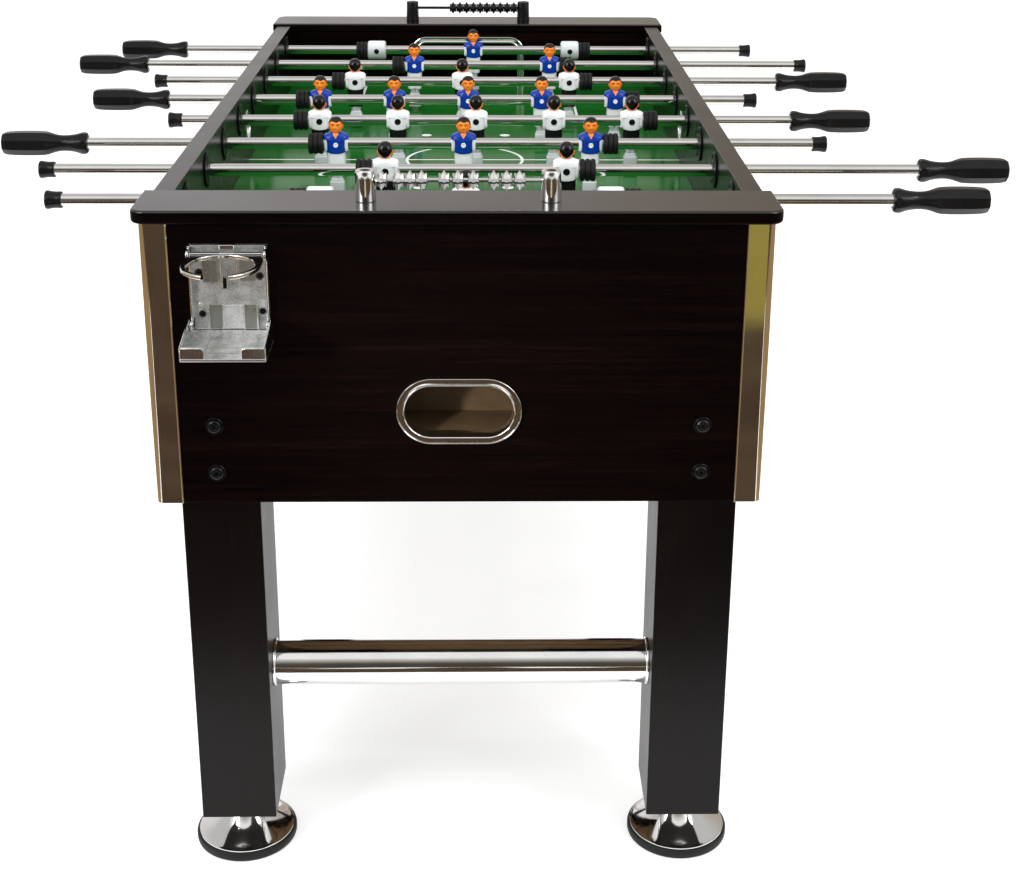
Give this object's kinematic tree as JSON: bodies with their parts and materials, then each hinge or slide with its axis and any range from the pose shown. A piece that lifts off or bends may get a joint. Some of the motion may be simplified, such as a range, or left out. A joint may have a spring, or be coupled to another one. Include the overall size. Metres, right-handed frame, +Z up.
{
  "type": "foosball table",
  "caption": "Full-size foosball table: dark wood-grain cabinet on square legs with chrome guards, sliding and turning rods of men, bead scorers and a folding cup holder.",
  "frame": {"origin": "on the floor under the middle of the playfield", "axes": "+X along the rods, +Y along the playfield from the near goal to the far goal, +Z up"},
  "size_m": [1.4062, 1.5294, 0.922],
  "materials": {
    "dark_laminate": "satin dark wenge wood-grain laminate",
    "fibreboard": "raw brown fibreboard",
    "playfield_green": "glossy printed green pitch",
    "chrome_trim": "bright chrome",
    "cast_chrome": "chromed casting",
    "rod_chrome": "polished steel tube",
    "black_steel": "black oxide",
    "black_plastic": "moulded black plastic",
    "black_rubber": "soft black rubber",
    "foot_chrome_rubber": "rubber tread under a chromed cone",
    "silver_plastic": "silver plastic",
    "blue_team": "painted moulded plastic",
    "white_team": "painted moulded plastic"
  },
  "bodies": {
    "cabinet": {"side_panels": "dark_laminate", "end_panels": "dark_laminate", "goal_walls": "dark_laminate", "goal_frames": "chrome_trim", "end_rails": "dark_laminate", "playfield": "playfield_green", "playfield_battens": "fibreboard", "ball_return_boxes": "fibreboard", "ball_return_bezels": "chrome_trim", "serve_rings": "chrome_trim", "corner_guards": "chrome_trim", "legs": "dark_laminate", "leg_bolts": "black_steel", "leg_stretchers": "chrome_trim", "rod_bearings": "black_plastic", "near_scorer_frame": "chrome_trim", "far_scorer_frame": "black_plastic", "cup_holder_plate": "cast_chrome"},
    "rod1_bumpers": {"rod1_bumpers": "black_rubber"},
    "rod1": {"rod1_tube": "rod_chrome", "rod1_men": "blue_team", "rod1_grips": "black_plastic"},
    "rod2_bumpers": {"rod2_bumpers": "black_rubber"},
    "rod2": {"rod2_tube": "rod_chrome", "rod2_men": "blue_team", "rod2_grips": "black_plastic"},
    "rod3_bumpers": {"rod3_bumpers": "black_rubber"},
    "rod3": {"rod3_tube": "rod_chrome", "rod3_men": "white_team", "rod3_grips": "black_plastic"},
    "rod4_bumpers": {"rod4_bumpers": "black_rubber"},
    "rod4": {"rod4_tube": "rod_chrome", "rod4_men": "blue_team", "rod4_grips": "black_plastic"},
    "rod5_bumpers": {"rod5_bumpers": "black_rubber"},
    "rod5": {"rod5_tube": "rod_chrome", "rod5_men": "white_team", "rod5_grips": "black_plastic"},
    "rod6_bumpers": {"rod6_bumpers": "black_rubber"},
    "rod6": {"rod6_tube": "rod_chrome", "rod6_men": "blue_team", "rod6_grips": "black_plastic"},
    "rod7_bumpers": {"rod7_bumpers": "black_rubber"},
    "rod7": {"rod7_tube": "rod_chrome", "rod7_men": "white_team", "rod7_grips": "black_plastic"},
    "rod8_bumpers": {"rod8_bumpers": "black_rubber"},
    "rod8": {"rod8_tube": "rod_chrome", "rod8_men": "white_team", "rod8_grips": "black_plastic"},
    "foot_near_left": {"foot_near_left": "foot_chrome_rubber"},
    "foot_near_right": {"foot_near_right": "foot_chrome_rubber"},
    "foot_far_left": {"foot_far_left": "foot_chrome_rubber"},
    "foot_far_right": {"foot_far_right": "foot_chrome_rubber"},
    "near_beads_left": {"near_beads_left": "silver_plastic"},
    "near_beads_middle": {"near_beads_middle": "silver_plastic"},
    "near_beads_right": {"near_beads_right": "silver_plastic"},
    "far_beads": {"far_beads": "black_plastic"},
    "cup_holder_ring": {"cup_holder_ring": "cast_chrome"},
    "cup_holder_tray": {"cup_holder_tray": "cast_chrome"}
  },
  "joints": [
    {"name": "rod1_slide", "type": "slide", "parent": "cabinet", "child": "rod1_bumpers", "axis": [1, 0, 0], "range_m": [-0.1256, 0.1036]},
    {"name": "rod1_spin", "type": "hinge", "parent": "rod1_bumpers", "child": "rod1", "pos_m": [0, 0.539, 0.851], "axis": [1, 0, 0], "continuous": true},
    {"name": "rod2_slide", "type": "slide", "parent": "cabinet", "child": "rod2_bumpers", "axis": [1, 0, 0], "range_m": [-0.2001, 0.1461]},
    {"name": "rod2_spin", "type": "hinge", "parent": "rod2_bumpers", "child": "rod2", "pos_m": [0, 0.385, 0.851], "axis": [1, 0, 0], "continuous": true},
    {"name": "rod3_slide", "type": "slide", "parent": "cabinet", "child": "rod3_bumpers", "axis": [1, 0, 0], "range_m": [-0.1071, 0.1191]},
    {"name": "rod3_spin", "type": "hinge", "parent": "rod3_bumpers", "child": "rod3", "pos_m": [0, 0.231, 0.851], "axis": [1, 0, 0], "continuous": true},
    {"name": "rod4_slide", "type": "slide", "parent": "cabinet", "child": "rod4_bumpers", "axis": [1, 0, 0], "range_m": [-0.0636, 0.0536]},
    {"name": "rod4_spin", "type": "hinge", "parent": "rod4_bumpers", "child": "rod4", "pos_m": [0, 0.077, 0.851], "axis": [1, 0, 0], "continuous": true},
    {"name": "rod5_slide", "type": "slide", "parent": "cabinet", "child": "rod5_bumpers", "axis": [1, 0, 0], "range_m": [-0.0766, 0.0406]},
    {"name": "rod5_spin", "type": "hinge", "parent": "rod5_bumpers", "child": "rod5", "pos_m": [0, -0.077, 0.851], "axis": [1, 0, 0], "continuous": true},
    {"name": "rod6_slide", "type": "slide", "parent": "cabinet", "child": "rod6_bumpers", "axis": [1, 0, 0], "range_m": [-0.1141, 0.1121]},
    {"name": "rod6_spin", "type": "hinge", "parent": "rod6_bumpers", "child": "rod6", "pos_m": [0, -0.231, 0.851], "axis": [1, 0, 0], "continuous": true},
    {"name": "rod7_slide", "type": "slide", "parent": "cabinet", "child": "rod7_bumpers", "axis": [1, 0, 0], "range_m": [-0.1921, 0.1541]},
    {"name": "rod7_spin", "type": "hinge", "parent": "rod7_bumpers", "child": "rod7", "pos_m": [0, -0.385, 0.851], "axis": [1, 0, 0], "continuous": true},
    {"name": "rod8_slide", "type": "slide", "parent": "cabinet", "child": "rod8_bumpers", "axis": [1, 0, 0], "range_m": [-0.1216, 0.1076]},
    {"name": "rod8_spin", "type": "hinge", "parent": "rod8_bumpers", "child": "rod8", "pos_m": [0, -0.539, 0.851], "axis": [1, 0, 0], "continuous": true},
    {"name": "foot_near_left_level", "type": "slide", "parent": "cabinet", "child": "foot_near_left", "axis": [0, 0, -1], "range_m": [0, 0.012]},
    {"name": "foot_near_right_level", "type": "slide", "parent": "cabinet", "child": "foot_near_right", "axis": [0, 0, -1], "range_m": [0, 0.012]},
    {"name": "foot_far_left_level", "type": "slide", "parent": "cabinet", "child": "foot_far_left", "axis": [0, 0, -1], "range_m": [0, 0.012]},
    {"name": "foot_far_right_level", "type": "slide", "parent": "cabinet", "child": "foot_far_right", "axis": [0, 0, -1], "range_m": [0, 0.012]},
    {"name": "near_beads_left_slide", "type": "slide", "parent": "cabinet", "child": "near_beads_left", "axis": [1, 0, 0], "range_m": [-0.0004, 0.006]},
    {"name": "near_beads_middle_slide", "type": "slide", "parent": "cabinet", "child": "near_beads_middle", "axis": [1, 0, 0], "range_m": [-0.006, 0.005]},
    {"name": "near_beads_right_slide", "type": "slide", "parent": "cabinet", "child": "near_beads_right", "axis": [1, 0, 0], "range_m": [-0.005, 0.018]},
    {"name": "far_beads_slide", "type": "slide", "parent": "cabinet", "child": "far_beads", "axis": [1, 0, 0], "range_m": [-0.06, 0]},
    {"name": "cup_ring_fold", "type": "hinge", "parent": "cabinet", "child": "cup_holder_ring", "pos_m": [-0.261, -0.724, 0.836], "axis": [1, 0, 0], "range_deg": [0, 90]},
    {"name": "cup_tray_fold", "type": "hinge", "parent": "cabinet", "child": "cup_holder_tray", "pos_m": [-0.261, -0.724, 0.752], "axis": [-1, 0, 0], "range_deg": [0, 90]}
  ]
}
